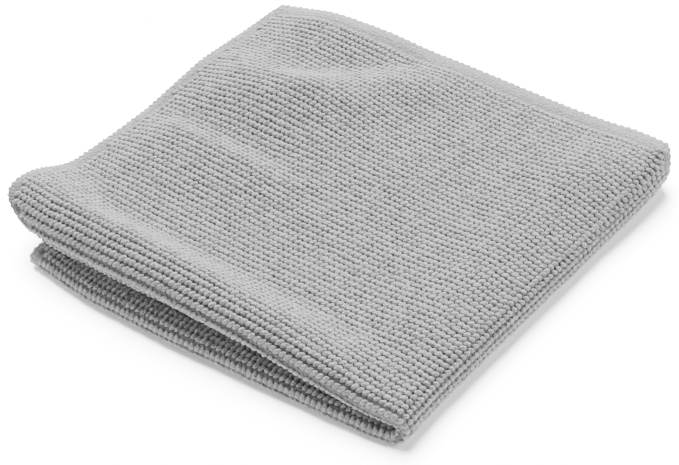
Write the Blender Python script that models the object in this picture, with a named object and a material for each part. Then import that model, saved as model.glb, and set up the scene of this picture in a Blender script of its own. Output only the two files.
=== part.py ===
"""Square knitted cloth folded in quarters and lying flat, one folded sheet.

The panel's left edge lies at -X, its two rolled folds at -Y (front), the wrapped fold at +X,
the open hemmed edges at +Y and -X. Tables and lengths below are in millimetres.
"""
import math

import bmesh
import bpy

MM = 0.001

# Sheet.
SHEET = 2.3                  # thickness of the knitted sheet
HEM_WIDTH = 9.0              # folded and sewn border
HEM_EXTRA = 0.25             # added thickness in the border
GAP = 0.5                    # least air between two layers
HEM_ROUND = 0.9              # how far the rounded rim stands out
END_SLANT = 1.3              # how quickly the rolls' open ends draw back round the fold

# Folded panel seen from above.
LEFT_END = -97.0             # end of the top layer
WRAP_CENTRE = 90.4           # x where the wrapped fold starts to turn
FRONT_CAP = -87.0            # y where the rolled folds start to turn
ROLL_FLAT = (11.0, 8.0)      # level stretch behind the fold, at its left end and further on
ROLL_REACH = (35.0, 22.0)    # length over which the fat roll then fades out, likewise
ROLL_LEAN = 9.0              # how far behind its underside the top of the upper roll starts to turn
WRAP_REACH = 26.0            # how far the wrapped fold's fullness runs back
WRAP_SLOPE = 16.0            # degrees that the upper face already falls where the wrap starts
SHOULDER_START = 64.0        # x where the upper face starts to fall towards the wrap
SHOULDER_DROP = 2.7          # how far it falls

# Along the front folds: thickness of both rolls, air between them, and y of their cap.
FRONT_COLUMNS = ("x", "lower_roll", "between", "upper_roll", "lower_cap", "upper_cap")
FRONT_TABLE = (
    (-100.0, 7.4, 3.2, 12.4, -86.7, -83.2),
    (-76.0, 7.8, 4.4, 12.0, -89.5, -85.2),
    (-45.0, 8.4, 4.8, 11.6, -92.5, -85.9),
    (-10.0, 8.6, 5.3, 9.7, -92.3, -86.1),
    (25.0, 8.2, 4.6, 8.3, -90.7, -86.0),
    (56.0, 7.5, 2.9, 7.6, -89.2, -86.3),
    (80.0, 6.4, 1.3, 6.5, -88.1, -86.2),
    (100.0, 5.2, 0.6, 5.3, -85.8, -84.8),
)

# Height of the upper face behind the rolls, before its soft folds are added.
PLAIN_HEIGHT = 13.4
LEFT_COLUMNS = ("y", "height")
LEFT_TABLE = (
    (-100.0, 12.4), (-45.0, 11.6), (-20.0, 10.8), (0.0, 10.8), (20.0, 11.9),
    (36.0, 12.8), (54.0, 12.0), (69.0, 10.7), (84.0, 10.7), (98.0, 10.9),
)
LEFT_REACH = 26.0            # how far in from the left edge that height holds

# Soft folds and dips of the upper face: middle, direction of the crest, half length,
# half width ahead of and behind the crest, height.
FOLD_COLUMNS = ("name", "x", "y", "angle", "half_length", "ahead", "behind", "height")
FOLD_TABLE = (
    ("ridge across the left", -58.0, -11.0, 0.0, 38.0, 24.0, 7.5, 2.8),
    ("groove behind it", -56.0, 3.0, -2.0, 36.0, 7.0, 11.0, -1.6),
    ("hump left of the middle", -56.0, 38.0, 5.0, 42.0, 25.0, 14.0, 4.7),
    ("slanting ridge to the back", -29.0, 57.0, 42.0, 42.0, 15.0, 13.0, 3.3),
    ("slanting groove beside it", -42.0, 69.0, 42.0, 32.0, 7.0, 9.0, -1.2),
    ("swell at the back left", -62.0, 90.0, 12.0, 30.0, 14.0, 9.0, 1.8),
    ("dimple at the left hem", -88.0, 58.0, 20.0, 10.0, 5.0, 5.0, -0.8),
    ("fold at the left hem", -88.0, 45.0, 15.0, 14.0, 6.0, 6.0, 0.8),
    ("fullness along the wrap", 71.0, 2.0, 94.0, 74.0, 24.0, 18.0, 2.2),
    ("fullness at the right corner", 90.0, 74.0, 58.0, 32.0, 20.0, 22.0, 3.7),
    ("broad swell in the middle", 10.0, 40.0, 60.0, 50.0, 30.0, 30.0, 0.9),
    ("slack before the front roll", -25.0, -38.0, 2.0, 70.0, 12.0, 14.0, -0.6),
)

# Outline of the wrapped fold: how far it turns out from its centre line, and the lift of
# the lowest layer off the ground at the right corner.
WRAP_COLUMNS = ("y", "shift")
WRAP_TABLE = (
    (-98.0, -3.2), (-76.0, -3.8), (-57.0, -3.7), (-33.0, -3.1), (0.0, -1.9),
    (25.0, -0.9), (55.0, -0.4), (78.0, 0.5), (92.0, 0.3), (100.0, -0.2),
)
CORNER_LIFT = 3.2

# Open edges at the back: y of the hem for each layer along x.
BACK_COLUMNS = ("x", "layer_1", "layer_2", "layer_3", "layer_4")
BACK_TABLE = (
    (-100.0, 91.5, 90.0, 93.0, 90.5),
    (-84.0, 94.5, 92.5, 94.6, 92.8),
    (-62.0, 97.6, 95.2, 96.6, 94.4),
    (-20.0, 98.6, 96.0, 97.2, 94.8),
    (40.0, 98.8, 96.4, 97.4, 95.6),
    (74.0, 99.6, 97.0, 97.0, 95.6),
    (91.5, 98.2, 96.2, 96.2, 93.0),
)
WRAP_HEM = 91.0              # y of the outer layer's hem at the middle of the wrapped fold

# Open edges on the left: x of the hem for each layer along y.
SIDE_COLUMNS = ("y", "layer_1", "layer_2", "layer_3", "layer_4")
SIDE_TABLE = (
    (-98.0, -94.0, -76.5, -75.5, -75.5),
    (-82.0, -96.2, -79.0, -77.0, -78.0),
    (-60.0, -97.0, -85.0, -82.0, -84.0),
    (-10.0, -96.0, -89.0, -87.0, -90.0),
    (35.0, -97.4, -92.0, -90.0, -93.0),
    (70.0, -98.0, -94.0, -92.0, -95.0),
    (98.0, -97.2, -94.0, -93.0, -95.0),
)

# Stations of the mesh: distance behind the front fold, share of the way from the left
# edge to the wrapped fold, and steps round each fold.
BEHIND_FRONT = (0.0, 4.0, 8.5, 13.0, 17.5, 22.0, 26.5, 31.0, 36.0, 42.0, 50.0, 59.0, 68.0, 76.0,
                84.0, 92.0, 101.0, 110.0, 120.0, 131.0, 143.0, 155.0, 166.0, 176.5, 182.5)
ALONG_TOP = (0.0, 0.022, 0.05, 0.09, 0.14, 0.19, 0.24, 0.29, 0.34, 0.39, 0.45, 0.51, 0.57,
             0.64, 0.71, 0.78, 0.84, 0.90, 0.955, 1.0)
ALONG_BOTTOM = (1.0, 0.955, 0.90, 0.82, 0.73, 0.64, 0.55, 0.46, 0.37, 0.28, 0.20, 0.12, 0.05, 0.0)
TURN_STEPS = 8


def look_up(table, columns, key, column):
    """Value of one column of a table at a place, eased between its rows."""
    at = columns.index(column)
    if key <= table[0][0]:
        return table[0][at]
    for low, high in zip(table, table[1:]):
        if key <= high[0]:
            share = (key - low[0]) / (high[0] - low[0])
            share = 0.5 * share + 0.5 * share * share * (3.0 - 2.0 * share)
            return low[at] + (high[at] - low[at]) * share
    return table[-1][at]


def fade(distance, reach):
    """One at zero distance, nothing beyond the reach, smooth in between."""
    share = min(max(distance / reach, 0.0), 1.0)
    return 0.5 + 0.5 * math.cos(math.pi * share)


def soft_folds(x, y):
    """Sum of the soft folds and dips of the upper face."""
    total = 0.0
    for row in FOLD_TABLE:
        fold = dict(zip(FOLD_COLUMNS, row))
        turn = math.radians(fold["angle"])
        dx = x - fold["x"]
        dy = y - fold["y"]
        along = dx * math.cos(turn) + dy * math.sin(turn)
        across = dy * math.cos(turn) - dx * math.sin(turn)
        width = fold["ahead"] if across < 0.0 else fold["behind"]
        total += fold["height"] * math.exp(-(across / width) ** 2 - (along / fold["half_length"]) ** 4)
    return total


def upper_height(x, y):
    """Height of the upper face without the front rolls."""
    left = look_up(LEFT_TABLE, LEFT_COLUMNS, y, "height")
    near_left = fade(x - LEFT_END, LEFT_REACH)
    height = PLAIN_HEIGHT + soft_folds(x, y) * (1.0 - 0.75 * near_left)
    height += (left - PLAIN_HEIGHT) * near_left
    fall = min(max((x - SHOULDER_START) / (WRAP_CENTRE - SHOULDER_START), 0.0), 1.2)
    height -= SHOULDER_DROP * fall * fall
    return max(height, 4.0 * SHEET + 3.0 * GAP)


def layer_heights(x, y):
    """Mid heights of the four layers, from the uppermost down."""
    front = {name: look_up(FRONT_TABLE, FRONT_COLUMNS, x, name) for name in FRONT_COLUMNS[1:4]}
    near_end = fade(x - LEFT_END, 40.0)
    level = ROLL_FLAT[1] + (ROLL_FLAT[0] - ROLL_FLAT[1]) * near_end
    reach = ROLL_REACH[1] + (ROLL_REACH[0] - ROLL_REACH[1]) * near_end
    near_front = fade(y - FRONT_CAP - level, reach)
    near_wrap = fade(WRAP_CENTRE - x, WRAP_REACH)
    spare = (upper_height(x, y) - 4.0 * SHEET - 3.0 * GAP) * (1.0 - near_front)
    lower = GAP + (front["lower_roll"] - 2.0 * SHEET - GAP) * near_front + 0.2 * spare
    upper = GAP + (front["upper_roll"] - 2.0 * SHEET - GAP) * near_front + 0.45 * spare
    between = GAP + (front["between"] - GAP) * near_front + 0.35 * spare
    turn = 1.3 * near_wrap
    between += turn
    upper = max(upper - 0.6 * turn, GAP)
    lower = max(lower - 0.4 * turn, GAP)
    lift = CORNER_LIFT * fade(100.0 - x, 42.0) * fade(100.0 - y, 48.0)
    fourth = 0.5 * SHEET + lift
    third = fourth + SHEET + lower
    second = third + SHEET + between
    first = second + SHEET + upper
    return first, second, third, fourth


def side_end(y, layer):
    """x of a layer's open edge on the left."""
    return look_up(SIDE_TABLE, SIDE_COLUMNS, y, layer)


def back_end(x, layer):
    """y of a layer's open edge at the back."""
    return look_up(BACK_TABLE, BACK_COLUMNS, x, layer)


def run_point(run, share, y, outer):
    """Point of the top or bottom run of a pair of layers."""
    if run == "top":
        layer = "layer_1" if outer else "layer_2"
    else:
        layer = "layer_4" if outer else "layer_3"
    start = side_end(y, layer)
    centre = WRAP_CENTRE + look_up(WRAP_TABLE, WRAP_COLUMNS, y, "shift")
    x = start + (centre - start) * share
    heights = layer_heights(x, y)
    index = int(layer[-1]) - 1
    return (x, y, heights[index])


def turn_point(angle, y, outer):
    """Point of the wrapped fold, the angle running from up to down."""
    centre = WRAP_CENTRE + look_up(WRAP_TABLE, WRAP_COLUMNS, y, "shift")
    first, second, third, fourth = layer_heights(centre, y)
    if outer:
        top, low = first, fourth
    else:
        top, low = second, third
    first_angle = math.radians(90.0 - WRAP_SLOPE)
    radius = (top - low) / (1.0 + math.sin(first_angle))
    share = (0.5 * math.pi - angle) / math.pi
    angle = first_angle - (first_angle + 0.5 * math.pi) * share
    middle = centre - radius * math.cos(first_angle) * (1.0 - share)
    return (middle + radius * math.cos(angle), y, low + radius + radius * math.sin(angle))


def place(station, y, outer):
    """Point of the outer or inner layer of a pair at one station."""
    kind, value = station
    if kind == "turn":
        return turn_point(value, y, outer)
    return run_point(kind, value, y, outer)


def cap_start(station):
    """y where the front fold starts to turn at one station."""
    kind, value = station
    top_x = LEFT_END + (WRAP_CENTRE - LEFT_END) * (value if kind != "turn" else 1.0)
    low_x = -78.0 + (WRAP_CENTRE + 78.0) * (value if kind != "turn" else 1.0)
    if kind == "top":
        return look_up(FRONT_TABLE, FRONT_COLUMNS, top_x, "upper_cap")
    if kind == "bottom":
        return look_up(FRONT_TABLE, FRONT_COLUMNS, low_x, "lower_cap")
    upper = look_up(FRONT_TABLE, FRONT_COLUMNS, WRAP_CENTRE, "upper_cap")
    lower = look_up(FRONT_TABLE, FRONT_COLUMNS, WRAP_CENTRE, "lower_cap")
    share = 0.5 + 0.5 * math.sin(value)
    return lower + (upper - lower) * share + 1.4 * math.cos(value)


def cap_lean(station):
    """How far behind its underside the top of the front fold starts to turn at one station."""
    kind, value = station
    return ROLL_LEAN * (1.0 - value * value) if kind == "top" else 0.0


def hem_line(station, outer):
    """y of the open edge at the back at one station."""
    kind, value = station
    if kind == "turn":
        top = back_end(WRAP_CENTRE, "layer_1" if outer else "layer_2")
        low = back_end(WRAP_CENTRE, "layer_4" if outer else "layer_3")
        share = 0.5 + 0.5 * math.sin(value)
        level = low + (top - low) * share
        middle = WRAP_HEM if outer else WRAP_HEM + 2.0
        return level + (middle - level) * math.cos(value) ** 1.5
    if kind == "top":
        layer = "layer_1" if outer else "layer_2"
    else:
        layer = "layer_4" if outer else "layer_3"
    x = -95.0 + (WRAP_CENTRE + 95.0) * value
    return back_end(x, layer)


def stations():
    """Stations along the sheet from its top open edge round the wrap to its lower one."""
    found = [("top", share) for share in ALONG_TOP]
    for step in range(1, TURN_STEPS):
        found.append(("turn", math.radians(90.0 - 180.0 * step / TURN_STEPS)))
    found.extend(("bottom", share) for share in ALONG_BOTTOM)
    return found


def strip(station):
    """Mid points of the sheet across one station, from the outer hem to the inner hem."""
    start = cap_start(station)
    lean = cap_lean(station)
    reach = BEHIND_FRONT[-1]
    points = []
    end = hem_line(station, True)
    for distance in reversed(BEHIND_FRONT):
        points.append(place(station, start + lean + (end - start - lean) * distance / reach, True))
    outer = place(station, start + lean, True)
    inner = place(station, start, False)
    middle = [0.5 * (a + b) for a, b in zip(outer, inner)]
    half = [0.5 * (a - b) for a, b in zip(outer, inner)]
    depth = math.sqrt(half[0] ** 2 + half[2] ** 2) if station[0] == "turn" else abs(half[2])
    for step in range(1, TURN_STEPS):
        angle = math.radians(90.0 - 180.0 * step / TURN_STEPS)
        swing = math.sin(angle)
        point = [m + h * swing for m, h in zip(middle, half)]
        point[1] -= (depth + 0.5 * lean) * math.cos(angle)
        if station[0] != "turn":
            rise = 0.5 + 0.5 * swing
            share = (rise * rise * (3.0 - 2.0 * rise)) ** END_SLANT
            point[0] = inner[0] + (outer[0] - inner[0]) * share
        points.append(tuple(point))
    end = hem_line(station, False)
    for distance in BEHIND_FRONT:
        points.append(place(station, start + (end - start) * distance / reach, False))
    return points


def subtract(a, b):
    return tuple(p - q for p, q in zip(a, b))


def unit(vector):
    length = math.sqrt(sum(value * value for value in vector))
    return tuple(value / length for value in vector)


def cross(a, b):
    return (a[1] * b[2] - a[2] * b[1], a[2] * b[0] - a[0] * b[2], a[0] * b[1] - a[1] * b[0])


def normals(grid):
    """Unit normals of a grid of points, towards the face that lies up on the top layer."""
    rows = len(grid)
    count = len(grid[0])
    found = []
    for i in range(rows):
        line = []
        for j in range(count):
            ahead = subtract(grid[min(i + 1, rows - 1)][j], grid[max(i - 1, 0)][j])
            aside = subtract(grid[i][min(j + 1, count - 1)], grid[i][max(j - 1, 0)])
            line.append(unit(cross(aside, ahead)))
        found.append(line)
    return found


def hem_share(i, j, grid):
    """One in the sewn border, nothing inside it."""
    point = grid[i][j]
    rows = len(grid)
    count = len(grid[0])
    nearest = min(
        math.dist(point, grid[0][j]),
        math.dist(point, grid[rows - 1][j]),
        math.dist(point, grid[i][0]),
        math.dist(point, grid[i][count - 1]),
    )
    return 1.0 if nearest <= HEM_WIDTH + 0.5 else 0.0


def build_sheet():
    """Closed body of the folded sheet."""
    grid = [strip(station) for station in stations()]
    facing = normals(grid)
    rows = len(grid)
    count = len(grid[0])
    mesh = bmesh.new()
    sides = {}
    for sign in (1.0, -1.0):
        layer = []
        for i in range(rows):
            line = []
            for j in range(count):
                half = 0.5 * (SHEET + HEM_EXTRA * hem_share(i, j, grid))
                point = [p + sign * half * n for p, n in zip(grid[i][j], facing[i][j])]
                point[2] = max(point[2], 0.0)
                line.append(mesh.verts.new([value * MM for value in point]))
            layer.append(line)
        sides[sign] = layer
        for i in range(rows - 1):
            for j in range(count - 1):
                ring = (layer[i][j], layer[i][j + 1], layer[i + 1][j + 1], layer[i + 1][j])
                mesh.faces.new(ring if sign > 0.0 else ring[::-1])
    border = [(i, 0) for i in range(rows)]
    border += [(rows - 1, j) for j in range(1, count)]
    border += [(i, count - 1) for i in range(rows - 2, -1, -1)]
    border += [(0, j) for j in range(count - 2, 0, -1)]
    rim = []
    for i, j in border:
        inward = grid[min(max(i, 1), rows - 2)][min(max(j, 1), count - 2)]
        outward = unit(subtract(grid[i][j], inward))
        point = [p + HEM_ROUND * o for p, o in zip(grid[i][j], outward)]
        rim.append(mesh.verts.new([value * MM for value in point]))
    for at, (i, j) in enumerate(border):
        following = (at + 1) % len(border)
        k, m = border[following]
        up = sides[1.0]
        low = sides[-1.0]
        mesh.faces.new((up[i][j], up[k][m], rim[following], rim[at]))
        mesh.faces.new((rim[at], rim[following], low[k][m], low[i][j]))
    return mesh


def settle(mesh):
    """Centre the body over the origin and set its underside on the ground."""
    low = [min(vertex.co[axis] for vertex in mesh.verts) for axis in range(3)]
    high = [max(vertex.co[axis] for vertex in mesh.verts) for axis in range(3)]
    shift = (0.5 * (low[0] + high[0]), 0.5 * (low[1] + high[1]), low[2])
    for vertex in mesh.verts:
        for axis in range(3):
            vertex.co[axis] -= shift[axis]
    print("moved by", [round(value / MM, 3) for value in shift])


def fabric_material():
    material = bpy.data.materials.new("grey_microfibre")
    material.use_nodes = True
    surface = material.node_tree.nodes["Principled BSDF"]
    surface.inputs["Base Color"].default_value = (0.43, 0.435, 0.435, 1.0)
    surface.inputs["Roughness"].default_value = 0.95
    surface.inputs["Metallic"].default_value = 0.0
    material.diffuse_color = (0.43, 0.435, 0.435, 1.0)
    return material


def main():
    for item in list(bpy.data.objects):
        bpy.data.objects.remove(item, do_unlink=True)
    mesh = build_sheet()
    bmesh.ops.recalc_face_normals(mesh, faces=mesh.faces)
    settle(mesh)
    bmesh.ops.triangulate(mesh, faces=mesh.faces)
    data = bpy.data.meshes.new("cloth")
    mesh.to_mesh(data)
    print("triangles", len(data.polygons), "volume mm3", round(mesh.calc_volume() * 1e9))
    mesh.free()
    for polygon in data.polygons:
        polygon.use_smooth = True
    body = bpy.data.objects.new("cloth", data)
    body.data.materials.append(fabric_material())
    bpy.context.scene.collection.objects.link(body)


main()
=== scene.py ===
import math

import bpy
import numpy as np
from mathutils import Matrix, Vector


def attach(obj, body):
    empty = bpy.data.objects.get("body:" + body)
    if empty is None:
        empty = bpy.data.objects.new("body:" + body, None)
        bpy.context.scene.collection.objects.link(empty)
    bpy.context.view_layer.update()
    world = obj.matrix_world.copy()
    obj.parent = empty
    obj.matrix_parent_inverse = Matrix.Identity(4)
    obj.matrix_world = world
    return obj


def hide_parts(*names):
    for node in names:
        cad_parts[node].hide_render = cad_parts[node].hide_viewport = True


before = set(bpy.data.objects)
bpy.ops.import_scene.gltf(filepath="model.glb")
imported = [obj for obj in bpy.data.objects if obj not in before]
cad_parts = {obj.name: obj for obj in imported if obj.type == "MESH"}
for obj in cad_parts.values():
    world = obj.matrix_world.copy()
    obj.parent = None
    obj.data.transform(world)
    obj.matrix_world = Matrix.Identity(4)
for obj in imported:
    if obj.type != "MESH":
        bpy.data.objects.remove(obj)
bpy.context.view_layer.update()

mm = 0.001
rng = np.random.default_rng(11)

# the way the cloth is folded, in millimetres: the same tables as its solid
cloth = {
    "pitch": 2.3,            # thickness that one layer takes up
    "gap": 0.5,
    "leftEnd": -97.0,
    "wrapCentre": 90.4,
    "wrapSlope": 16.0,
    "shoulder": (64.0, 2.7),
    "frontCap": -87.0,
    "rollFlat": (11.0, 8.0),
    "rollReach": (35.0, 22.0),
    "rollLean": 9.0,         # how far the top of the upper roll starts to fall before its underside
    "wrapReach": 26.0,
    "wrapOpening": (1.3, 0.6, 0.4),   # what the wrapped fold adds between the pairs, and takes from each
    "wrapBulge": 1.4,
    "endReach": 40.0,        # how far in the rolls keep the shape of their left end
    "endSlant": 1.3,
    "plainHeight": 13.4,
    "leftReach": 26.0,
    "foldsAtLeft": 0.75,     # how much of the soft folds is gone at the left hem
    "spare": (0.2, 0.35, 0.45),       # how the spare height is shared from the lowest gap up
    "lowerStart": -78.0,     # left end of the lower pair
    "hemStart": -95.0,
    "cornerLift": 3.2,
    "cornerReach": (42.0, 48.0),
    "wrapHem": (91.0, 93.0),    # y of the hem in the middle of the wrapped fold, outer and inner layer
    "shift": (-0.763, 1.884),   # from the tables' own middle to the middle of the finished cloth
    "core": 0.36,            # half thickness of the ground fabric under the pearls
    "rim": 0.5,              # how far its rounded rim reaches past the grid
}

# x: lower roll, between, upper roll, lower cap, upper cap
frontTable = np.array((
    (-100.0, 7.4, 3.2, 12.4, -86.7, -83.2),
    (-76.0, 7.8, 4.4, 12.0, -89.5, -85.2),
    (-45.0, 8.4, 4.8, 11.6, -92.5, -85.9),
    (-10.0, 8.6, 5.3, 9.7, -92.3, -86.1),
    (25.0, 8.2, 4.6, 8.3, -90.7, -86.0),
    (56.0, 7.5, 2.9, 7.6, -89.2, -86.3),
    (80.0, 6.4, 1.3, 6.5, -88.1, -86.2),
    (100.0, 5.2, 0.6, 5.3, -85.8, -84.8),
))

# y: height of the upper face at the left edge
leftTable = np.array((
    (-100.0, 12.4), (-45.0, 11.6), (-20.0, 10.8), (0.0, 10.8), (20.0, 11.9),
    (36.0, 12.8), (54.0, 12.0), (69.0, 10.7), (84.0, 10.7), (98.0, 10.9),
))

# soft folds: x, y, angle, half length, width ahead, width behind, height
foldTable = (
    (-58.0, -11.0, 0.0, 38.0, 24.0, 7.5, 2.8),
    (-56.0, 3.0, -2.0, 36.0, 7.0, 11.0, -1.6),
    (-56.0, 38.0, 5.0, 42.0, 25.0, 14.0, 4.7),
    (-29.0, 57.0, 42.0, 42.0, 15.0, 13.0, 3.3),
    (-42.0, 69.0, 42.0, 32.0, 7.0, 9.0, -1.2),
    (-62.0, 90.0, 12.0, 30.0, 14.0, 9.0, 1.8),
    (-88.0, 58.0, 20.0, 10.0, 5.0, 5.0, -0.8),
    (-88.0, 45.0, 15.0, 14.0, 6.0, 6.0, 0.8),
    (71.0, 2.0, 94.0, 74.0, 24.0, 18.0, 2.2),
    (90.0, 74.0, 58.0, 32.0, 20.0, 22.0, 3.7),
    (10.0, 40.0, 60.0, 50.0, 30.0, 30.0, 0.9),
    (-25.0, -38.0, 2.0, 70.0, 12.0, 14.0, -0.6),
)

# y: how far the wrapped fold's centre line moves in or out
wrapTable = np.array((
    (-98.0, -3.2), (-76.0, -3.8), (-57.0, -3.7), (-33.0, -3.1), (0.0, -1.9),
    (25.0, -0.9), (55.0, -0.4), (78.0, 0.5), (92.0, 0.3), (100.0, -0.2),
))

# x: y of the back hem of layers 1 to 4
backTable = np.array((
    (-100.0, 91.5, 90.0, 93.0, 90.5),
    (-84.0, 94.5, 92.5, 94.6, 92.8),
    (-62.0, 97.6, 95.2, 96.6, 94.4),
    (-20.0, 98.6, 96.0, 97.2, 94.8),
    (40.0, 98.8, 96.4, 97.4, 95.6),
    (74.0, 99.6, 97.0, 97.0, 95.6),
    (91.5, 98.2, 96.2, 96.2, 93.0),
))

# y: x of the left hem of layers 1 to 4
sideTable = np.array((
    (-98.0, -94.0, -76.5, -75.5, -75.5),
    (-82.0, -96.2, -79.0, -77.0, -78.0),
    (-60.0, -97.0, -85.0, -82.0, -84.0),
    (-10.0, -96.0, -89.0, -87.0, -90.0),
    (35.0, -97.4, -92.0, -90.0, -93.0),
    (70.0, -98.0, -94.0, -92.0, -95.0),
    (98.0, -97.2, -94.0, -93.0, -95.0),
))

grid = {"top": 112, "turn": 22, "bottom": 92, "behind": 118, "cap": 20}


def eased(table, key, column):
    key = np.clip(np.asarray(key, float), table[0, 0], table[-1, 0])
    at = np.clip(np.searchsorted(table[:, 0], key) - 1, 0, len(table) - 2)
    share = (key - table[at, 0]) / (table[at + 1, 0] - table[at, 0])
    share = 0.5 * share + 0.5 * share * share * (3.0 - 2.0 * share)
    return table[at, column] + (table[at + 1, column] - table[at, column]) * share


def fade(distance, reach):
    return 0.5 + 0.5 * np.cos(math.pi * np.clip(distance / reach, 0.0, 1.0))


def softFolds(x, y):
    total = np.zeros_like(x)
    for fx, fy, angle, halfLength, ahead, behind, height in foldTable:
        c, s = math.cos(math.radians(angle)), math.sin(math.radians(angle))
        along = (x - fx) * c + (y - fy) * s
        across = (y - fy) * c - (x - fx) * s
        width = np.where(across < 0.0, ahead, behind)
        total += height * np.exp(-(across / width) ** 2 - (along / halfLength) ** 4)
    return total


def layerHeights(x, y):
    # mid heights of layers 1 to 4, from the top down
    t, gap = cloth["pitch"], cloth["gap"]
    near = fade(x - cloth["leftEnd"], cloth["leftReach"])
    height = cloth["plainHeight"] + softFolds(x, y) * (1.0 - cloth["foldsAtLeft"] * near)
    height += (eased(leftTable, y, 1) - cloth["plainHeight"]) * near
    start, drop = cloth["shoulder"]
    height -= drop * np.clip((x - start) / (cloth["wrapCentre"] - start), 0.0, 1.2) ** 2
    height = np.maximum(height, 4.0 * t + 3.0 * gap)
    flat = cloth["rollFlat"]
    reach = cloth["rollReach"]
    nearEnd = fade(x - cloth["leftEnd"], cloth["endReach"])
    level = flat[1] + (flat[0] - flat[1]) * nearEnd
    front = fade(y - cloth["frontCap"] - level, reach[1] + (reach[0] - reach[1]) * nearEnd)
    spare = (height - 4.0 * t - 3.0 * gap) * (1.0 - front)
    toLower, toBetween, toUpper = cloth["spare"]
    lower = gap + (eased(frontTable, x, 1) - 2.0 * t - gap) * front + toLower * spare
    upper = gap + (eased(frontTable, x, 3) - 2.0 * t - gap) * front + toUpper * spare
    between = gap + (eased(frontTable, x, 2) - gap) * front + toBetween * spare
    opening, fromUpper, fromLower = cloth["wrapOpening"]
    turn = opening * fade(cloth["wrapCentre"] - x, cloth["wrapReach"])
    between = between + turn
    upper = np.maximum(upper - fromUpper * turn, gap)
    lower = np.maximum(lower - fromLower * turn, gap)
    reachX, reachY = cloth["cornerReach"]
    fourth = 0.5 * t + cloth["cornerLift"] * fade(100.0 - x, reachX) * fade(100.0 - y, reachY)
    third = fourth + t + lower
    second = third + t + between
    first = second + t + upper
    return first, second, third, fourth


def place(kind, value, y, outer):
    # points of the outer or inner layer of a pair along y
    centre = cloth["wrapCentre"] + eased(wrapTable, y, 1)
    if kind == "turn":
        first, second, third, fourth = layerHeights(centre, y)
        top, low = (first, fourth) if outer else (second, third)
        begin = math.radians(90.0 - cloth["wrapSlope"])
        radius = (top - low) / (1.0 + math.sin(begin))
        share = (0.5 * math.pi - value) / math.pi
        angle = begin - (begin + 0.5 * math.pi) * share
        middle = centre - radius * math.cos(begin) * (1.0 - share)
        return np.stack([middle + radius * math.cos(angle), y, low + radius + radius * math.sin(angle)], 1)
    layer = (1 if outer else 2) if kind == "top" else (4 if outer else 3)
    start = eased(sideTable, y, layer)
    x = start + (centre - start) * value
    return np.stack([x, y, layerHeights(x, y)[layer - 1]], 1)


def capStart(kind, value):
    # y where the front fold starts
    share = 1.0 if kind == "turn" else value
    centre = cloth["wrapCentre"]
    if kind == "top":
        return float(eased(frontTable, cloth["leftEnd"] + (centre - cloth["leftEnd"]) * share, 5))
    if kind == "bottom":
        left = cloth["lowerStart"]
        return float(eased(frontTable, left + (centre - left) * share, 4))
    upper, lower = float(eased(frontTable, centre, 5)), float(eased(frontTable, centre, 4))
    return lower + (upper - lower) * (0.5 + 0.5 * math.sin(value)) + cloth["wrapBulge"] * math.cos(value)


def capLean(kind, value):
    return cloth["rollLean"] * (1.0 - value * value) if kind == "top" else 0.0


def hemLine(kind, value, outer):
    # y of the hem at the back
    centre = cloth["wrapCentre"]
    if kind == "turn":
        top = float(eased(backTable, centre, 1 if outer else 2))
        low = float(eased(backTable, centre, 4 if outer else 3))
        level = low + (top - low) * (0.5 + 0.5 * math.sin(value))
        middle = cloth["wrapHem"][0 if outer else 1]
        return level + (middle - level) * max(math.cos(value), 0.0) ** 1.5
    layer = (1 if outer else 2) if kind == "top" else (4 if outer else 3)
    left = cloth["hemStart"]
    return float(eased(backTable, left + (centre - left) * value, layer))


def strip(kind, value):
    # one line of points across the cloth, from its outer hem round the front fold to its inner hem
    start = capStart(kind, value)
    lean = capLean(kind, value)
    share = np.linspace(0.0, 1.0, grid["behind"] + 1)
    outerY = start + lean + (hemLine(kind, value, True) - start - lean) * share[::-1]
    innerY = start + (hemLine(kind, value, False) - start) * share
    outer = place(kind, value, outerY, True)
    inner = place(kind, value, innerY, False)
    a, b = outer[-1], inner[0]
    half = 0.5 * (a - b)
    depth = math.hypot(half[0], half[2]) if kind == "turn" else abs(half[2])
    angle = np.radians(90.0 - 180.0 * np.arange(1, grid["cap"]) / grid["cap"])
    swing = np.sin(angle)
    cap = 0.5 * (a + b) + half * swing[:, None]
    cap[:, 1] -= (depth + 0.5 * lean) * np.cos(angle)
    if kind != "turn":
        rise = 0.5 + 0.5 * swing
        cap[:, 0] = b[0] + (a[0] - b[0]) * (rise * rise * (3.0 - 2.0 * rise)) ** cloth["endSlant"]
    return np.concatenate([outer, cap, inner])


def foldedGrid():
    lines = [strip("top", v) for v in np.linspace(0.0, 1.0, grid["top"] + 1)]
    for step in range(1, grid["turn"]):
        lines.append(strip("turn", math.radians(90.0 - 180.0 * step / grid["turn"])))
    lines += [strip("bottom", v) for v in np.linspace(1.0, 0.0, grid["bottom"] + 1)]
    points = np.array(lines)
    points[..., 0] -= cloth["shift"][0]
    points[..., 1] -= cloth["shift"][1]
    return points


def surfaceNormals(points):
    ahead = np.gradient(points, axis=0)
    aside = np.gradient(points, axis=1)
    normal = np.cross(aside, ahead)
    return normal / np.linalg.norm(normal, axis=2)[..., None]


def makeMesh(name, vertices, faces, smooth=True):
    mesh = bpy.data.meshes.new(name)
    mesh.from_pydata([tuple(v) for v in vertices], [], [tuple(int(i) for i in f) for f in faces])
    mesh.update()
    if smooth:
        mesh.polygons.foreach_set("use_smooth", [True] * len(mesh.polygons))
    thing = bpy.data.objects.new(name, mesh)
    bpy.context.scene.collection.objects.link(thing)
    return thing


points = foldedGrid()
normals = surfaceNormals(points)
rows, columns = points.shape[:2]
frontColumn = grid["behind"] + grid["cap"] // 2       # the middle of the front fold
wrapRow = grid["top"] + grid["turn"] // 2              # the middle of the wrapped fold
print("folded grid", rows, columns)


fold = 200.0             # flat place of both folds, in a cloth that measures twice as much


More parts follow.
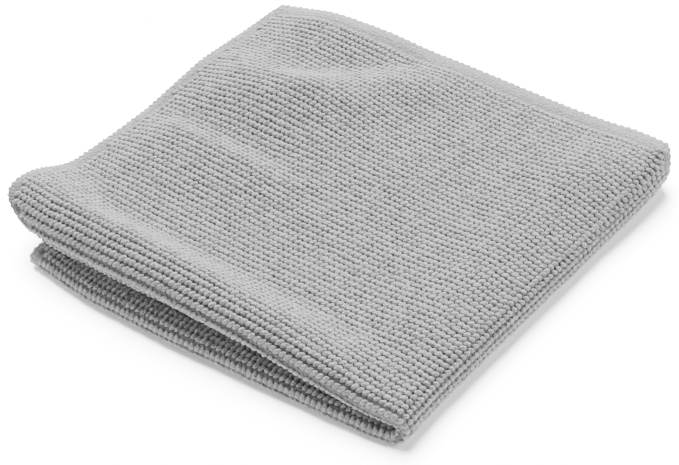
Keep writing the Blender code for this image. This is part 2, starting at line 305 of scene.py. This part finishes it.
def flatPlaces():
    # flat place of every grid point, measured without stretch from the middles of the two folds
    ahead = np.diff(points, axis=0)
    placeU = np.zeros((rows, columns))
    placeU[1:] = np.cumsum(np.linalg.norm(ahead, axis=2), axis=0)
    placeU += fold - placeU[wrapRow:wrapRow + 1]
    unit = np.gradient(points, axis=0)
    unit /= np.linalg.norm(unit, axis=2)[..., None]
    aside = np.diff(points, axis=1)
    along = 0.5 * (unit[:, 1:] + unit[:, :-1])
    aside = aside - along * np.sum(aside * along, axis=2)[..., None]
    placeV = np.zeros((rows, columns))
    placeV[:, 1:] = np.cumsum(np.linalg.norm(aside, axis=2), axis=1)
    placeV += fold - placeV[:, frontColumn:frontColumn + 1]
    # the ribs of the outer half run parallel to its hem
    reach = fold - placeV[:, :1]
    outer = placeV[:, :frontColumn]
    outer[:] = fold - (fold - outer) * (reach.mean() / reach)
    return placeU, placeV


flatU, flatV = flatPlaces()
fromEdgeU = np.minimum(flatU - flatU[:1], flatU[-1:] - flatU)
fromEdgeV = np.minimum(flatV - flatV[:, :1], flatV[:, -1:] - flatV)


def groundFabric():
    # a thin closed sheet with a rounded rim
    keepRows = sorted(set(range(0, rows, 2)) | {rows - 1})
    keepColumns = sorted(set(range(0, columns, 2)) | {columns - 1})
    mid = points[np.ix_(keepRows, keepColumns)]
    out = normals[np.ix_(keepRows, keepColumns)]
    n, m = mid.shape[:2]
    count = n * m
    index = np.arange(count).reshape(n, m)
    vertices = [(mid + cloth["core"] * out).reshape(-1, 3), (mid - cloth["core"] * out).reshape(-1, 3)]
    corners = [index[:-1, :-1].ravel(), index[:-1, 1:].ravel(), index[1:, 1:].ravel(), index[1:, :-1].ravel()]
    faces = list(zip(*corners))
    faces += [(d + count, c + count, b + count, a + count) for a, b, c, d in zip(*corners)]
    ring = [(i, 0) for i in range(n)] + [(n - 1, j) for j in range(1, m)]
    ring += [(i, m - 1) for i in range(n - 2, -1, -1)] + [(0, j) for j in range(m - 2, 0, -1)]
    rim = []
    for i, j in ring:
        outward = mid[i, j] - mid[min(max(i, 1), n - 2), min(max(j, 1), m - 2)]
        rim.append(mid[i, j] + cloth["rim"] * outward / np.linalg.norm(outward))
    vertices = np.concatenate(vertices + [np.array(rim)])
    for at, (i, j) in enumerate(ring):
        after = (at + 1) % len(ring)
        k, l = ring[after]
        here, there = index[i, j], index[k, l]
        faces.append((here, there, 2 * count + after, 2 * count + at))
        faces.append((2 * count + at, 2 * count + after, there + count, here + count))
    return makeMesh("groundFabric", vertices * mm, faces)


sheet = groundFabric()
print("ground fabric", len(sheet.data.polygons))

# sewn border: a band round all four edges, with two fine threads laid over it at every stitch
border = {
    "width": (6.2, 3.8),     # along the ribs, across their ends
    "inset": (0.25, 5.6),    # where they start from the corners, so that one pair ends inside the other
    "half": 0.82,            # half thickness of the folded and sewn edge
    "stitch": (3.05, 2.86),
    "perStitch": 6,          # sections of the band in one stitch
    "scallop": 1.10,         # how far each stitch bulges past the edge
    "thread": 0.20,          # how far the threads stand up
    "lean": 0.35,            # how far they lean along the edge, per millimetre of width
    "grain": 0.12,           # unevenness of both faces
    "rim": 0.35,             # part of the width that the stitches pinch, and how much
    "pinch": 0.35,
    "valley": 0.35,          # how far the rim is drawn in between two stitches
    "seam": 0.82,            # where the needle line lies, as a share of the width
}


def resample(values, keys, wanted):
    # linear interpolation of rows of values, each along its own rising keys
    out = np.empty((values.shape[0], len(wanted)) + values.shape[2:])
    for r in range(values.shape[0]):
        at = np.clip(np.searchsorted(keys[r], wanted) - 1, 0, keys.shape[1] - 2)
        share = (wanted - keys[r][at]) / (keys[r][at + 1] - keys[r][at])
        share = share.reshape((-1,) + (1,) * (values.ndim - 2))
        out[r] = values[r][at] * (1.0 - share) + values[r][at + 1] * share
    return out


def edgeLines(swap, far, depths, step, start):
    # points and normals at the given depths inside one edge, every step along it
    mid, out = (points.transpose(1, 0, 2), normals.transpose(1, 0, 2)) if swap else (points, normals)
    if far:
        mid, out = mid[:, ::-1], out[:, ::-1]
    mid, out = mid[:, :40], out[:, :40]          # more than the band needs
    keys = np.zeros(mid.shape[:2])
    keys[:, 1:] = np.cumsum(np.linalg.norm(np.diff(mid, axis=1), axis=2), axis=1)
    lines = resample(np.concatenate([mid, out], axis=2), keys, depths)
    along = np.zeros(len(lines))
    along[1:] = np.cumsum(np.linalg.norm(np.diff(lines[:, -1, :3], axis=0), axis=1))
    count = int((along[-1] - 2.0 * start) / step)
    slack = 0.5 * (along[-1] - 2.0 * start - count * step)
    wanted = start + slack + step * np.arange(count + 1)
    lines = resample(lines.transpose(1, 0, 2), np.repeat(along[None], lines.shape[1], axis=0), wanted)
    lines = lines.transpose(1, 0, 2)
    return lines[..., :3], lines[..., 3:] / np.linalg.norm(lines[..., 3:], axis=2)[..., None], wanted


# distance from the edge and half thickness, as shares of the band's width and of its half thickness
bandProfile = (
    (-0.02, 0.30), (0.02, 0.72), (0.09, 0.96), (0.19, 1.0), (0.29, 1.0), (0.39, 0.97), (0.49, 0.96),
    (0.59, 0.97), (0.69, 0.98), (0.78, 0.95), (0.86, 0.66), (0.93, 0.62), (0.99, 0.58), (1.05, 0.36),
)


def bandMesh(name, swap, far):
    share, half = np.array(bandProfile).T
    depths = share * border["width"][swap]
    stitch = border["stitch"][swap]
    mid, out, along = edgeLines(swap, far, depths, stitch / border["perStitch"], border["inset"][swap])
    ridge = np.abs(np.cos(math.pi * (along - along[0]) / stitch))[:, None]
    inward = mid[:, 2] - mid[:, 1]
    inward /= np.linalg.norm(inward, axis=1)[:, None]
    n = len(mid)
    # thinner between the stitches at the rim, raised under each thread as far as the seam
    rim = np.clip(1.0 - share / border["rim"], 0.0, 1.0)
    height = border["half"] * half * (1.0 - border["pinch"] * rim * (1.0 - ridge))
    threads = np.cos(4.0 * math.pi * (along[:, None] + border["lean"] * depths) / stitch)
    height += border["thread"] * threads * np.clip(4.0 * share, 0.0, 1.0) * (share < border["seam"])
    height += rng.uniform(-1.0, 1.0, height.shape) * border["grain"]
    if not swap:
        for end, rest in ((0, 0.3), (-1, 0.3), (1, 0.85), (-2, 0.85)):
            height[end] *= rest
    for k, reach in enumerate((1.0, 0.9, 0.6, 0.2)):
        mid[:, k] -= inward * (border["scallop"] * reach * (ridge - border["valley"]))
    upper = mid + out * height[..., None]
    lower = mid - out * height[..., None]
    loop = np.concatenate([lower[:, ::-1], upper], axis=1)     # from the inner end round the rim
    size = loop.shape[1]
    vertices = loop.reshape(-1, 3)
    index = np.arange(n * size).reshape(n, size)
    ahead = np.roll(index, -1, axis=1)
    faces = np.stack([index[:-1], ahead[:-1], ahead[1:], index[1:]], axis=2).reshape(-1, 4).tolist()
    faces += [list(index[0][::-1]), list(index[-1])]
    if swap != far:
        faces = [face[::-1] for face in faces]
    band = makeMesh(name, vertices * mm, faces)
    band.data.materials.append(borderFinish)
    return band


# pearls of the knit, in ribs that run along the front fold
knit = {
    "alongRib": 2.28,        # from pearl to pearl
    "acrossRibs": 2.86,      # from rib to rib
    # degrees between a rib and the long way of its pearls, half length, half width and height of a pearl:
    # where the cloth lies flat, where it bends and the ribs open, and where it bends along the ribs
    "lying": (54.0, 1.74, 1.29, 0.96),
    "opened": (60.0, 1.64, 1.00, 1.12),
    "wrapped": (60.0, 1.44, 1.02, 1.14),
    "bend": (0.03, 0.12),    # from nearly flat to fully opened, per millimetre
    "lumps": 0.60,           # unevenness of each pearl
    "lumpScale": 900.0,      # per metre
    "astray": 0.06,          # how far a pearl stands off its place
    "jitter": 0.12,          # unevenness of their size
    "swivel": (0.12, 0.12, 0.20),    # how far it turns by chance, in radians
    "seed": 5,
    "least": 0.05,           # height above the floor where the cloth is pressed flat
    "clear": (0.7, 1.0),     # room between the pearls and the two kinds of hem
    "wrapClear": 3.6,        # how much nearer they stand to the hem round the wrapped fold
}


def lattice(us, vs):
    # for flat places us by vs: position on the mid surface, and distance from the two kinds of hem
    both = np.concatenate([points, flatU[..., None], fromEdgeU[..., None], fromEdgeV[..., None]], axis=2)
    byV = resample(both, flatV, vs)                    # rows by len(vs)
    turned = byV.transpose(1, 0, 2)
    byU = resample(turned[..., [0, 1, 2, 4, 5]], turned[..., 3], us)
    return byU.transpose(1, 0, 2)                      # len(us) by len(vs)


def latticeFrame(us, vs):
    step = 0.6
    here = lattice(us, vs)
    alongU = (lattice(us + step, vs) - lattice(us - step, vs))[..., :3] / (2.0 * step)
    alongV = (lattice(us, vs + step) - lattice(us, vs - step))[..., :3] / (2.0 * step)
    normal = np.cross(alongV, alongU)
    normal /= np.linalg.norm(normal, axis=2)[..., None]
    return here[..., :3], alongU, alongV, normal, here[..., 3], here[..., 4]


def evenly(pitch):
    # flat places of the whole cloth, half a pitch off the fold
    half = np.arange(0.5 * pitch, fold, pitch)
    return np.concatenate([fold - half[::-1], fold + half])


pearlColumns = evenly(knit["alongRib"])
ribs = evenly(knit["acrossRibs"])
sites, tangentU, tangentV, outward, edgeU, edgeV = latticeFrame(pearlColumns, ribs)


def bent(places, axis, tangent):
    # 0 where the cloth is nearly flat, 1 where it bends outward most
    bend = np.sum(np.gradient(outward, places, axis=axis) * tangent, axis=2)
    return np.clip((bend - knit["bend"][0]) / (knit["bend"][1] - knit["bend"][0]), 0.0, 1.0)


opened = bent(ribs, 1, tangentV)
wrapped = bent(pearlColumns, 0, tangentU)
print("lattice", sites.shape[:2])


def pearlTemplate(name, sides, rings):
    # a plump pillow, its foot sunk in the ground fabric
    vertices, faces = [], []
    for radius, height in rings:
        for k in range(sides):
            angle = 2.0 * math.pi * (k + 0.5) / sides
            vertices.append((radius * math.cos(angle), radius * math.sin(angle), height))
    top = len(vertices)
    vertices.append((0.0, 0.0, 1.0))
    for r in range(len(rings) - 1):
        for k in range(sides):
            n = (k + 1) % sides
            faces.append((r * sides + k, r * sides + n, (r + 1) * sides + n, (r + 1) * sides + k))
    for k in range(sides):
        faces.append(((len(rings) - 1) * sides + k, (len(rings) - 1) * sides + (k + 1) % sides, top))
    return makeMesh(name, vertices, faces)


finePearl = pearlTemplate("finePearl", 8, ((0.80, -0.25), (1.0, 0.28), (0.84, 0.68), (0.48, 0.92)))
plainPearl = pearlTemplate("plainPearl", 6, ((0.95, -0.2), (0.95, 0.4), (0.55, 0.86)))


def pearlTree():
    tree = bpy.data.node_groups.new("pearlsOnPoints", "GeometryNodeTree")
    for name, kind in (("Geometry", "Geometry"), ("Pearl", "Object"), ("Finish", "Material"),
                       ("Jitter", "Float"), ("Lumps", "Float"), ("Seed", "Int")):
        tree.interface.new_socket(name=name, in_out="INPUT", socket_type="NodeSocket" + kind)
    tree.interface.new_socket(name="Geometry", in_out="OUTPUT", socket_type="NodeSocketGeometry")
    nodes, links = tree.nodes, tree.links
    come, go = nodes.new("NodeGroupInput"), nodes.new("NodeGroupOutput")
    info = nodes.new("GeometryNodeObjectInfo")
    turn = nodes.new("GeometryNodeInputNamedAttribute")
    turn.data_type = "FLOAT_VECTOR"
    turn.inputs["Name"].default_value = "turn"
    size = nodes.new("GeometryNodeInputNamedAttribute")
    size.data_type = "FLOAT_VECTOR"
    size.inputs["Name"].default_value = "size"
    toRotation = nodes.new("FunctionNodeEulerToRotation")
    low = nodes.new("ShaderNodeMath")
    low.operation = "SUBTRACT"
    low.inputs[0].default_value = 1.0
    high = nodes.new("ShaderNodeMath")
    high.operation = "ADD"
    high.inputs[0].default_value = 1.0
    chance = nodes.new("FunctionNodeRandomValue")
    chance.data_type = "FLOAT_VECTOR"
    stretch = nodes.new("ShaderNodeVectorMath")
    stretch.operation = "MULTIPLY"
    instances = nodes.new("GeometryNodeInstanceOnPoints")
    swivel = nodes.new("GeometryNodeRotateInstances")
    turnChance = nodes.new("FunctionNodeRandomValue")
    turnChance.data_type = "FLOAT_VECTOR"
    turnChance.inputs[0].default_value = tuple(-most for most in knit["swivel"])
    turnChance.inputs[1].default_value = knit["swivel"]
    real = nodes.new("GeometryNodeRealizeInstances")
    lump = nodes.new("ShaderNodeTexNoise")
    lump.inputs["Scale"].default_value = knit["lumpScale"]
    lump.inputs["Detail"].default_value = 1.0
    centred = nodes.new("ShaderNodeVectorMath")
    centred.operation = "SUBTRACT"
    centred.inputs[1].default_value = (0.5, 0.5, 0.5)
    scaled = nodes.new("ShaderNodeVectorMath")
    scaled.operation = "SCALE"
    shift = nodes.new("GeometryNodeSetPosition")
    finish = nodes.new("GeometryNodeSetMaterial")
    links.new(come.outputs["Jitter"], low.inputs[1])
    links.new(come.outputs["Jitter"], high.inputs[1])
    links.new(low.outputs[0], chance.inputs["Min"])
    links.new(high.outputs[0], chance.inputs["Max"])
    links.new(come.outputs["Seed"], chance.inputs["Seed"])
    links.new(come.outputs["Seed"], turnChance.inputs["Seed"])
    links.new(size.outputs["Attribute"], stretch.inputs[0])
    links.new(chance.outputs[0], stretch.inputs[1])
    links.new(turn.outputs["Attribute"], toRotation.inputs["Euler"])
    links.new(come.outputs["Pearl"], info.inputs["Object"])
    links.new(come.outputs["Geometry"], instances.inputs["Points"])
    links.new(info.outputs["Geometry"], instances.inputs["Instance"])
    links.new(toRotation.outputs["Rotation"], instances.inputs["Rotation"])
    links.new(stretch.outputs[0], instances.inputs["Scale"])
    links.new(instances.outputs["Instances"], swivel.inputs["Instances"])
    links.new(turnChance.outputs[0], swivel.inputs["Rotation"])
    links.new(swivel.outputs["Instances"], real.inputs["Geometry"])
    links.new(lump.outputs["Color"], centred.inputs[0])
    links.new(centred.outputs["Vector"], scaled.inputs[0])
    links.new(come.outputs["Lumps"], scaled.inputs["Scale"])
    links.new(real.outputs["Geometry"], shift.inputs["Geometry"])
    links.new(scaled.outputs["Vector"], shift.inputs["Offset"])
    links.new(shift.outputs["Geometry"], finish.inputs["Geometry"])
    links.new(come.outputs["Finish"], finish.inputs["Material"])
    links.new(finish.outputs["Geometry"], go.inputs["Geometry"])
    return tree


pearlNodes = pearlTree()


def setInput(modifier, name, value):
    for item in modifier.node_group.interface.items_tree:
        if item.item_type == "SOCKET" and item.in_out == "INPUT" and item.name == name:
            modifier[item.identifier] = value


def growPearls(name, found, pearl, finish):
    # found: position, axes, size and tint of each pearl, in millimetres
    position, axes, size, tint = zip(*found)
    carrier = bpy.data.meshes.new(name + "Sites")
    carrier.vertices.add(len(found))
    carrier.vertices.foreach_set("co", np.array(position).ravel() * mm)
    for label, kind in (("turn", "FLOAT_VECTOR"), ("size", "FLOAT_VECTOR"), ("tint", "FLOAT")):
        carrier.attributes.new(label, kind, "POINT")
    marks = carrier.attributes
    turns = [tuple(Matrix(three).transposed().to_euler("XYZ")) for three in axes]
    marks["turn"].data.foreach_set("vector", np.array(turns).ravel())
    marks["size"].data.foreach_set("vector", np.array(size).ravel() * mm)
    marks["tint"].data.foreach_set("value", np.array(tint))
    holder = bpy.data.objects.new(name + "Holder", carrier)
    bpy.context.scene.collection.objects.link(holder)
    modifier = holder.modifiers.new("pearls", "NODES")
    modifier.node_group = pearlNodes
    setInput(modifier, "Pearl", pearl)
    setInput(modifier, "Finish", finish)
    setInput(modifier, "Jitter", knit["jitter"])
    setInput(modifier, "Lumps", knit["lumps"] * mm)
    setInput(modifier, "Seed", knit["seed"])
    graph = bpy.context.evaluated_depsgraph_get()
    graph.update()
    mesh = bpy.data.meshes.new_from_object(holder.evaluated_get(graph), depsgraph=graph)
    mesh.name = name
    flat = np.empty(len(mesh.vertices) * 3)
    mesh.vertices.foreach_get("co", flat)
    flat[2::3] = np.maximum(flat[2::3], knit["least"] * mm)
    mesh.vertices.foreach_set("co", flat)
    bpy.data.objects.remove(holder, do_unlink=True)
    thing = bpy.data.objects.new(name, mesh)
    bpy.context.scene.collection.objects.link(thing)
    mesh.polygons.foreach_set("use_smooth", [True] * len(mesh.polygons))
    print(name, len(found), "pearls", len(mesh.polygons), "faces")
    return thing


tints = rng.uniform(0.0, 1.0, sites.shape[:2])
astray = rng.uniform(-knit["astray"], knit["astray"], sites.shape[:2] + (2,))


def sitesWhere(test, side=1.0, tall=1.0):
    # pearls stand only inside the hems, and reach nearer to the rim round the wrapped fold
    found = []
    clearU, clearV = knit["clear"]
    inside = edgeU > border["width"][1] + clearU
    inside &= edgeV > border["width"][0] + clearV - knit["wrapClear"] * wrapped
    for a, b in zip(*np.nonzero(inside)):
        if not test(pearlColumns[a], ribs[b]):
            continue
        n = outward[a, b] * side
        tu, tv = tangentU[a, b], tangentV[a, b]
        shape = np.array(knit["lying"])
        if side > 0.0:
            shape += (np.array(knit["opened"]) - shape) * opened[a, b]
            shape += (np.array(knit["wrapped"]) - shape) * wrapped[a, b]
        slant, long, wide, high = shape
        slant = math.radians(slant)
        lengthU, lengthV = np.linalg.norm(tu), np.linalg.norm(tv)
        x = tu / lengthU * math.cos(slant) - tv / lengthV * math.sin(slant)
        x -= n * np.dot(x, n)
        x /= np.linalg.norm(x)
        y = np.cross(n, x)
        position = sites[a, b] + n * cloth["core"] + tu * astray[a, b, 0] + tv * astray[a, b, 1]
        found.append((position, (x, y, n), (long, wide, high * tall), tints[a, b]))
    return found


# the yarn: colours of its pearls, its ground and its border, and its surface, in metres. The ground is the
# same yarn as the pearls, painted darker as the shade in the gaps between them
yarn = {
    "pearl": (0.290, 0.290, 0.286),
    # painted shade: the ground between the pearls is darker than the pearls to stand in for the shade in the
    # gaps
    "ground": (0.175, 0.173, 0.168),
    "border": (0.272, 0.272, 0.268),
    "roughness": 0.92,
    "specular": 0.2,
    "sheen": (0.35, 0.5),    # weight, roughness
    "sheenTint": (0.95, 0.97, 1.0, 1.0),
    "pearlRange": (0.90, 1.08),         # darkest and lightest pearl
    "speckle": (1200.0, 0.84, 1.16),    # scale, darkest, lightest
    "pile": (1000.0, 0.0010),           # scale, height
    "patches": 30.0,                    # scale of the broad patches
    "shares": (0.45, 0.55),             # of a pearl's own shade, and of the patches
}


def fabricFinish(name, shade):
    material = bpy.data.materials.new(name)
    material.use_nodes = True
    nodes, links = material.node_tree.nodes, material.node_tree.links
    surface = nodes["Principled BSDF"]
    surface.inputs["Roughness"].default_value = yarn["roughness"]
    surface.inputs["Specular IOR Level"].default_value = yarn["specular"]
    surface.inputs["Sheen Weight"].default_value = yarn["sheen"][0]
    surface.inputs["Sheen Roughness"].default_value = yarn["sheen"][1]
    surface.inputs["Sheen Tint"].default_value = yarn["sheenTint"]
    coords = nodes.new("ShaderNodeTexCoord")
    fine = nodes.new("ShaderNodeTexNoise")
    fine.inputs["Scale"].default_value = yarn["pile"][0]
    fine.inputs["Detail"].default_value = 3.0
    broad = nodes.new("ShaderNodeTexNoise")
    broad.inputs["Scale"].default_value = yarn["patches"]
    broad.inputs["Detail"].default_value = 2.0
    tint = nodes.new("ShaderNodeAttribute")
    tint.attribute_name = "tint"
    ramp = nodes.new("ShaderNodeMix")
    ramp.data_type = "RGBA"
    for socket, share in zip(("A", "B"), yarn["pearlRange"]):
        ramp.inputs[socket].default_value = tuple(c * share for c in shade) + (1.0,)
    grain = nodes.new("ShaderNodeTexNoise")
    grain.inputs["Scale"].default_value = yarn["speckle"][0]
    grain.inputs["Detail"].default_value = 2.0
    spread = nodes.new("ShaderNodeMapRange")
    spread.inputs["From Min"].default_value = 0.35
    spread.inputs["From Max"].default_value = 0.65
    spread.inputs["To Min"].default_value = yarn["speckle"][1]
    spread.inputs["To Max"].default_value = yarn["speckle"][2]
    speckle = nodes.new("ShaderNodeMix")
    speckle.data_type = "RGBA"
    speckle.blend_type = "MULTIPLY"
    speckle.inputs["Factor"].default_value = 1.0
    # each pearl has its own shade, and so have broad patches of the cloth
    ownShare = nodes.new("ShaderNodeMath")
    ownShare.operation = "MULTIPLY"
    ownShare.inputs[1].default_value = yarn["shares"][0]
    patchShare = nodes.new("ShaderNodeMath")
    patchShare.operation = "MULTIPLY"
    patchShare.inputs[1].default_value = yarn["shares"][1]
    blend = nodes.new("ShaderNodeMath")
    blend.operation = "ADD"
    bump = nodes.new("ShaderNodeBump")
    bump.inputs["Strength"].default_value = 1.0
    bump.inputs["Distance"].default_value = yarn["pile"][1]
    links.new(coords.outputs["Object"], fine.inputs["Vector"])
    links.new(coords.outputs["Object"], broad.inputs["Vector"])
    links.new(tint.outputs["Fac"], ownShare.inputs[0])
    links.new(broad.outputs["Fac"], patchShare.inputs[0])
    links.new(ownShare.outputs[0], blend.inputs[0])
    links.new(patchShare.outputs[0], blend.inputs[1])
    links.new(blend.outputs[0], ramp.inputs["Factor"])
    links.new(coords.outputs["Object"], grain.inputs["Vector"])
    links.new(grain.outputs["Fac"], spread.inputs["Value"])
    links.new(ramp.outputs["Result"], speckle.inputs["A"])
    links.new(spread.outputs["Result"], speckle.inputs["B"])
    links.new(speckle.outputs["Result"], surface.inputs["Base Color"])
    links.new(fine.outputs["Fac"], bump.inputs["Height"])
    links.new(bump.outputs["Normal"], surface.inputs["Normal"])
    return material


pearlFinish = fabricFinish("pearlMicrofibre", yarn["pearl"])
# the ground's finish carries the painted shade of the gaps between the pearls
groundFinish = fabricFinish("groundMicrofibre", yarn["ground"])
borderFinish = fabricFinish("borderMicrofibre", yarn["border"])
sheet.data.materials.append(groundFinish)

pieces = [
    bandMesh("borderOuterBack", False, False),
    bandMesh("borderInnerBack", False, True),
    bandMesh("borderUpperLeft", True, False),
    bandMesh("borderLowerLeft", True, True),
]
print("border", [len(piece.data.polygons) for piece in pieces])


def dress(name, test, pearl, **shape):
    pieces.append(growPearls(name, sitesWhere(test, **shape), pearl, pearlFinish))


def nearOpenEdge(u, v):
    return min(u, v, 2.0 * fold - u, 2.0 * fold - v) < 26.0


# the fine pearls run in under the rolls as far as inner, and round the wrapped fold as far as under
inner, under, half, lowerRoll = fold + 36.0, fold + 18.0, 114.0, 186.0
dress("pearlsTopBack", lambda u, v: u < fold and v < half, finePearl)
dress("pearlsTopFront", lambda u, v: u < fold and half <= v < inner, finePearl)
dress("pearlsWrap", lambda u, v: fold <= u < under and v < inner, finePearl)
dress("pearlsLowerRoll", lambda u, v: u >= under and lowerRoll < v < inner, finePearl)
dress("pearlsUnder", lambda u, v: u >= under and v <= lowerRoll, plainPearl, tall=0.7)
dress("pearlsInnerEdge", lambda u, v: nearOpenEdge(u, v) and v >= inner, plainPearl, tall=0.7)
dress("pearlsBackFace", nearOpenEdge, plainPearl, side=-1.0, tall=0.6)
for template in (finePearl, plainPearl):
    bpy.data.objects.remove(template, do_unlink=True)

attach(sheet, "root")
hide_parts("cloth")
for piece in pieces:
    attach(piece, "root")
print("cloth dressed")

# stage: white floor and backdrop, soft light from above and behind, and the camera of the photo
stage = {
    "azimuth": 36.0,
    "elevation": 40.6,
    "distance": 0.760,
    "focal": 2000.0,         # in pixels of a picture of this width
    "pictureWidth": 679.0,
    "aim": (0.0134, -0.0171, 0.010),
    "floor": 3.0,            # half its side
    "wall": (2.9, 3.0, 48),  # radius, height, sides
    "paper": 0.93,
    "bounceGlow": 2.4,
    "wallGlow": 12.0,
    "sky": 0.28,
}
# name: place, side, power
lights = {
    "behind": ((-0.85, 1.17, 0.90), 0.55, 146.0),
    "right": ((1.1, 0.65, 0.85), 0.9, 33.0),
    "left": ((-1.0, -0.45, 0.40), 0.6, 13.0),
    "overPaper": ((-0.75, 0.55, 1.3), 1.4, 760.0),
}


def levelSheet(name, height):
    half = stage["floor"]
    corners = [(x, y, height) for x, y in ((-half, -half), (half, -half), (half, half), (-half, half))]
    return makeMesh(name, corners, [(0, 1, 2, 3)], smooth=False)


def glowing(finish, name, strength):
    finish = finish.copy()
    finish.name = name
    surface = finish.node_tree.nodes["Principled BSDF"]
    surface.inputs["Emission Color"].default_value = (1.0, 1.0, 1.0, 1.0)
    surface.inputs["Emission Strength"].default_value = strength
    return finish


floor = levelSheet("floor", 0.0)
floorFinish = bpy.data.materials.new("whitePaper")
floorFinish.use_nodes = True
paper = floorFinish.node_tree.nodes["Principled BSDF"]
paper.inputs["Base Color"].default_value = (stage["paper"],) * 3 + (1.0,)
paper.inputs["Roughness"].default_value = 0.9
floor.data.materials.append(floorFinish)
# the white paper is overexposed: extra light falls on it alone, and a copy that
# the camera doesn't see sends soft light up to the cloth
bounce = levelSheet("floorBounce", -0.0002)
bounce.data.materials.append(glowing(floorFinish, "whitePaperGlow", stage["bounceGlow"]))
bounce.visible_camera = False
# a white wall all round, seen only from low angles
radius, top, sides = stage["wall"]
angles = [2.0 * math.pi * k / sides for k in range(sides)]
circle = [(radius * math.cos(angle), radius * math.sin(angle)) for angle in angles]
backdrop = makeMesh("backdrop", [(x, y, z) for z in (-0.01, top) for x, y in circle],
                    [((k + 1) % sides, k, k + sides, (k + 1) % sides + sides) for k in range(sides)])
backdrop.data.materials.append(glowing(floorFinish, "backdropGlow", stage["wallGlow"]))
for thing in (floor, backdrop):
    thing.visible_diffuse = False
    thing.visible_glossy = False
    thing.visible_shadow = False
paperOnly = bpy.data.collections.new("paperOnly")
paperOnly.objects.link(floor)


def softLight(name, where, size, power):
    data = bpy.data.lights.new(name, "AREA")
    data.shape = "SQUARE"
    data.size = size
    data.energy = power
    lamp = bpy.data.objects.new(name, data)
    lamp.location = where
    lamp.rotation_euler = (-Vector(where)).to_track_quat("-Z", "Y").to_euler()
    bpy.context.scene.collection.objects.link(lamp)
    return lamp


lamps = {name: softLight(name, *values) for name, values in lights.items()}
lamps["overPaper"].light_linking.receiver_collection = paperOnly
world = bpy.data.worlds.new("studio")
world.use_nodes = True
world.node_tree.nodes["Background"].inputs["Color"].default_value = (1.0, 1.0, 1.0, 1.0)
world.node_tree.nodes["Background"].inputs["Strength"].default_value = stage["sky"]
bpy.context.scene.world = world

a, e = math.radians(stage["azimuth"]), math.radians(stage["elevation"])
back = Vector((math.sin(a) * math.cos(e), -math.cos(a) * math.cos(e), math.sin(e)))
aim = Vector(stage["aim"]) - Vector((cloth["shift"][0] * mm, cloth["shift"][1] * mm, 0.0))
cameraData = bpy.data.cameras.new("camera")
cameraData.sensor_width = 36.0
cameraData.lens = stage["focal"] / stage["pictureWidth"] * cameraData.sensor_width
cameraData.clip_start = 0.01
camera = bpy.data.objects.new("camera", cameraData)
camera.location = aim + back * stage["distance"]
camera.rotation_euler = (-back).to_track_quat("-Z", "Y").to_euler()
bpy.context.scene.collection.objects.link(camera)
bpy.context.scene.camera = camera
print("stage and camera set")
